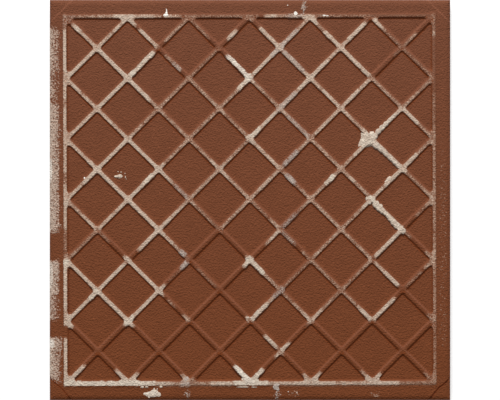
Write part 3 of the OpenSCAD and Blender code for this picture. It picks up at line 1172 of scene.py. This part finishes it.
@dataclass(frozen=True)
class FiredClay:
    """Red earthenware, pressed from clay powder and fired: dry and matt, with a fine sandy grain.

    Kiln wash, a slip of kaolin and alumina, lies on it as a chalky skin: a sheer film where it
    is worn, and an opaque coat with small pits where it is thick.
    """

    upper: str = "#754834"
    lower: str = "#764227"
    # Tones of painted light: a painted highlight, painted shade, and a painted shadow at the lower corner
    # steps.
    painted_highlight_tone: str = "#8b5944"
    painted_shade_tone: str = "#7b3f21"
    painted_shadow_tone: str = "#64301a"
    film_tone: str = "#ba9882"
    wash_tone: str = "#c2ad9b"
    thick_tone: str = "#d3c4b2"
    grey_tone: str = "#b6a69b"
    white_tone: str = "#f2ece2"
    grain_mm: float = 0.75
    mottle_mm: float = 9.0
    pit_mm: float = 1.4

    def material(self, sizes: TileSizes) -> bpy.types.Material:
        """Builds the material.

        Args:
            sizes: The tile's sizes, for what depends on height and place.

        Returns:
            The material.
        """
        material, tree = new_material("fired_red_clay")
        place = add(tree, "TexCoord").outputs["Object"]
        place = add(tree, "Mapping", {"Vector": place, "Scale": (1 / MM,) * 3}).outputs["Vector"]
        xyz = add(tree, "SeparateXYZ", {0: place})

        def marked(name: str):
            return add(tree, "Attribute", attribute_name=name).outputs["Fac"]

        def speck(size: float, detail: float, rough: float = 0.55):
            return add(tree, "TexNoise", {"Vector": place, "Scale": 1 / size, "Detail": detail,
                                          "Roughness": rough}).outputs["Fac"]

        def ranged(value, low: float, high: float, to_low: float = 0.0, to_high: float = 1.0):
            return add(tree, "MapRange", {"Value": value, "From Min": low, "From Max": high,
                                          "To Min": to_low, "To Max": to_high}).outputs["Result"]

        def maths(kind: str, first, second):
            return add(tree, "Math", {0: first, 1: second}, operation=kind).outputs[0]

        def blend(factor, first, second, kind: str = "MIX"):
            links = {0: factor, 6: first, 7: second}
            return add(tree, "Mix", links, data_type="RGBA", blend_type=kind).outputs[2]

        # Bare clay: its grain is drawn at 0.6 to 0.75 mm, coarser than the real pressed powder, to show.
        grain, grit = speck(self.grain_mm, 1.0, 0.5), speck(0.6, 2.0, 0.7)
        mottle = speck(self.mottle_mm, 4.0)
        clay = blend(ranged(xyz.outputs["Y"], -sizes.half, sizes.half), linear(self.lower),
                     linear(self.upper))
        # Painted light on the bare clay: a paler painted highlight on the ribs' lamp side and the upper
        # corner steps, painted shade on their other side, and a dark painted shadow at the lower corner
        # steps.
        painted_light = marked("painted_light")
        clay = blend(ranged(painted_light, 0.0, 1.0, 0.0, 0.5), clay, linear(self.painted_highlight_tone))
        clay = blend(ranged(painted_light, 0.0, -1.0), clay, linear(self.painted_shade_tone))
        clay = blend(ranged(painted_light, -1.0, -2.0), clay, linear(self.painted_shadow_tone))
        shade = maths("ADD", ranged(mottle, 0.3, 0.7, -0.04, 0.04), ranged(grain, 0.2, 0.8, 0.94, 1.06))
        shade = maths("ADD", shade, ranged(speck(0.7, 0.0), 0.74, 0.84, 0.0, 0.5))
        clay = blend(1.0, clay, add(tree, "CombineColor", {0: shade, 1: shade, 2: shade}).outputs[0],
                     "MULTIPLY")

        # Wash: a film that is limited to the rib tops, and a stippled skin anywhere.
        wash, film, coat, tone = marked("wash"), marked("film"), marked("coat"), marked("tone")
        level = maths("ADD", xyz.outputs["Z"], coat)
        on_top = ranged(level, sizes.thickness - 0.5, sizes.thickness - 0.3)
        patchy = maths("ADD", ranged(speck(2.2, 3.0), 0.3, 0.7, 0.72, 1.28),
                       ranged(grit, 0.3, 0.7, -0.22, 0.22))
        laid = maths("MULTIPLY", maths("MULTIPLY", wash, on_top), patchy)
        speckle = maths("MULTIPLY", ranged(speck(0.55, 1.0), 0.3, 0.7, -0.3, 0.3),
                        maths("MULTIPLY", ranged(wash, 0.05, 0.25), ranged(wash, 1.0, 0.4)))
        laid = maths("ADD", laid, maths("MULTIPLY", speckle, on_top))
        sheer = ranged(laid, 0.02, 0.76)
        spots = maths("ADD", ranged(grit, 0.3, 0.7, 0.0, 0.35), ranged(speck(1.6, 1.0), 0.3, 0.7, 0.0, 0.3))
        spots = maths("ADD", spots, ranged(speck(0.8, 0.0), 0.3, 0.7, 0.0, 0.5))
        skin = ranged(maths("ADD", film, spots), 0.87, 1.4)
        skin = maths("MULTIPLY", skin, ranged(film, 0.02, 0.08))
        mask = maths("MAXIMUM", sheer, skin)
        pits = ranged(speck(self.pit_mm, 2.0), 0.69, 0.76, 0.0, 0.6)
        mask = maths("MULTIPLY", mask, maths("SUBTRACT", 1.0, pits))

        wash_colour = blend(ranged(maths("ADD", laid, film), 0.45, 1.0), linear(self.film_tone),
                            linear(self.wash_tone))
        thick = ranged(maths("ADD", coat, ranged(speck(2.5, 2.0), 0.4, 0.7, -0.08, 0.08)), 0.18, 0.34)
        wash_colour = blend(thick, wash_colour, linear(self.thick_tone))
        wash_colour = blend(ranged(tone, 0.0, 1.0), wash_colour, linear(self.white_tone))
        wash_colour = blend(ranged(tone, 0.0, -1.0), wash_colour, linear(self.grey_tone))
        chalk = ranged(speck(0.9, 2.0), 0.3, 0.7, 0.84, 1.16)
        chalk = maths("ADD", chalk, ranged(speck(0.8, 0.0), 0.68, 0.8, 0.0, 0.35))
        chalk = add(tree, "CombineColor", {0: chalk, 1: chalk, 2: chalk}).outputs[0]
        wash_colour = blend(1.0, wash_colour, chalk, "MULTIPLY")
        colour = blend(mask, clay, wash_colour)

        relief = maths("ADD", maths("MULTIPLY", grain, 1.2), maths("MULTIPLY", mask, 0.35))
        relief = maths("ADD", relief, maths("MULTIPLY", grit, 0.3))
        bump = add(tree, "Bump", {"Height": relief, "Strength": 1.0, "Distance": 0.5 * MM})
        shader = add(tree, "BsdfPrincipled", {"Base Color": colour, "Roughness": 0.93,
                                              "Specular IOR Level": 0.05,
                                              "Normal": bump.outputs["Normal"]})
        add(tree, "OutputMaterial", {"Surface": shader.outputs[0]})
        return material


@dataclass(frozen=True)
class WhiteGlaze:
    """Tin-white glaze over engobe, fired glossy: smooth, with a slight orange peel."""

    colour: str = "#ece6da"
    peel_mm: float = 4.0

    def material(self) -> bpy.types.Material:
        """Builds the material.

        Returns:
            The material.
        """
        material, tree = new_material("white_tin_glaze")
        place = add(tree, "TexCoord").outputs["Object"]
        peel = add(tree, "TexNoise", {"Vector": place, "Scale": 1 / (self.peel_mm * MM), "Detail": 2.0})
        bump = add(tree, "Bump", {"Height": peel.outputs["Fac"], "Strength": 0.3, "Distance": 0.05 * MM})
        shader = add(tree, "BsdfPrincipled", {"Base Color": linear(self.colour), "Roughness": 0.1,
                                              "Normal": bump.outputs["Normal"]})
        add(tree, "OutputMaterial", {"Surface": shader.outputs[0]})
        return material


def dress(tile: bpy.types.Object, sizes: TileSizes) -> None:
    """Gives the tile its two finishes: glaze on the face, and bare clay elsewhere.

    Args:
        tile: The tile, in metres.
        sizes: Its sizes.
    """
    tile.data.materials.clear()
    tile.data.materials.append(FiredClay().material(sizes))
    tile.data.materials.append(WhiteGlaze().material())
    for face in tile.data.polygons:
        face.material_index = int(face.center.z < sizes.glaze_height * MM)
        face.use_smooth = True


# ---------------------------------------------------------------- the studio

@dataclass(frozen=True)
class Studio:
    """A pale floor, one soft lamp from behind the tile's upper edge, and even light around."""

    floor_size: float = 5.0
    ambient: float = 0.25
    lamp_level: float = 0.75
    lamp_height_deg: float = 40.0
    lamp_turn_deg: float = 4.0
    lamp_distance: float = 2.6
    lamp_size: float = 0.7
    lens_mm: float = 200.0
    sensor_mm: float = 36.0
    field_mm: float = 249.7

    def lay_floor(self) -> None:
        """Makes the floor, which turns white where the lamp reaches it and keeps the shadow."""
        clear_selection()
        bpy.ops.mesh.primitive_plane_add(size=self.floor_size)
        floor = bpy.context.object
        floor.name = "studio_floor"
        material, tree = new_material("pale_paper")
        paper = add(tree, "BsdfDiffuse", {"Color": linear("#d2d2d2")})
        glow = add(tree, "Emission", {"Color": (1, 1, 1, 1), "Strength": 0.5})
        both = add(tree, "AddShader", {0: paper.outputs[0], 1: glow.outputs[0]})
        seen = add(tree, "MixShader", {0: self.seen_ray(tree), 1: paper.outputs[0], 2: both.outputs[0]})
        clear = add(tree, "BsdfTransparent")
        side = add(tree, "NewGeometry").outputs["Backfacing"]
        one_sided = add(tree, "MixShader", {0: side, 1: seen.outputs[0], 2: clear.outputs[0]})
        add(tree, "OutputMaterial", {"Surface": one_sided.outputs[0]})
        floor.data.materials.append(material)

    def seen_ray(self, tree: bpy.types.NodeTree):
        """Adds the test for rays that show the background: seen, mirrored or seen through."""
        path = add(tree, "LightPath")
        either = add(tree, "Math", {0: path.outputs["Is Camera Ray"], 1: path.outputs["Is Glossy Ray"]},
                     operation="MAXIMUM").outputs[0]
        return add(tree, "Math", {0: either, 1: path.outputs["Is Transmission Ray"]},
                   operation="MAXIMUM").outputs[0]

    def light(self) -> None:
        """Sets up the lamp and the light around."""
        up, turn = math.radians(self.lamp_height_deg), math.radians(self.lamp_turn_deg)
        away = self.lamp_distance * math.cos(up)
        clear_selection()
        bpy.ops.object.light_add(type="AREA", location=(-away * math.sin(turn), away * math.cos(turn),
                                                        self.lamp_distance * math.sin(up)),
                                 rotation=(up - math.pi / 2, 0, turn))
        lamp = bpy.context.object
        lamp.name = "soft_lamp"
        lamp.data.shape = "SQUARE"
        lamp.data.size = self.lamp_size
        reach = math.pi ** 2 * self.lamp_distance ** 2 / math.sin(up)
        lamp.data.energy = self.lamp_level * reach
        world = bpy.data.worlds.new("studio")
        bpy.context.scene.world = world
        world.use_nodes = True
        tree = world.node_tree
        tree.nodes.clear()
        dim = add(tree, "Background", {"Color": (1, 1, 1, 1), "Strength": self.ambient})
        white = add(tree, "Background", {"Color": (1, 1, 1, 1), "Strength": 1.0})
        seen = add(tree, "MixShader", {0: self.seen_ray(tree), 1: dim.outputs[0], 2: white.outputs[0]})
        add(tree, "OutputWorld", {"Surface": seen.outputs[0]})

    def aim_camera(self, top: float) -> None:
        """Hangs the camera straight above the tile, far off with a long lens.

        Args:
            top: Height of the tile's back, in metres.
        """
        away = self.field_mm * MM * self.lens_mm / self.sensor_mm
        clear_selection()
        bpy.ops.object.camera_add(location=(0, 0, top + away), rotation=(0, 0, 0))
        camera = bpy.context.object
        camera.name = "long_lens"
        camera.data.lens, camera.data.sensor_width = self.lens_mm, self.sensor_mm
        bpy.context.scene.camera = camera
        bpy.context.scene.view_settings.view_transform = "Standard"

    def set_up(self, top: float) -> None:
        """Sets up floor, light and camera around a tile whose back is at a height."""
        self.lay_floor()
        self.light()
        self.aim_camera(top - 0.001)


def main() -> None:
    """Models and dresses the tile, and sets the stage."""
    logging.basicConfig(level=logging.INFO, format="%(name)s: %(message)s")
    low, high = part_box("tile")
    sizes = TileSizes(half=high.x / MM, thickness=high.z / MM)
    press = PressedTile(sizes)
    tile = press.build()
    log.info("tile: %d vertices, %d faces", len(tile.data.vertices), len(tile.data.polygons))
    wash = KilnWash(sizes)
    press.crown_ribs(tile)
    wash.lay_on(tile)
    press.set_askew(tile)
    wash.mark_margin(tile)
    lumps = [wash.model_lump(lump) for lump in LUMPS]
    log.info("lumps of wash: %d, with %d faces", len(lumps), sum(len(o.data.polygons) for o in lumps))
    work_on(tile)
    for lump in lumps:
        lump.select_set(True)
    bpy.ops.object.join()
    work_on(tile)
    tile.scale = (MM,) * 3
    bpy.ops.object.transform_apply(location=True, rotation=True, scale=True)
    apply_modifier(tile, "WEIGHTED_NORMAL", keep_sharp=True, weight=50)
    dress(tile, sizes)
    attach(tile, "root")
    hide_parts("tile")
    Studio().set_up(sizes.thickness * MM)


if __name__ == "__main__":
    main()
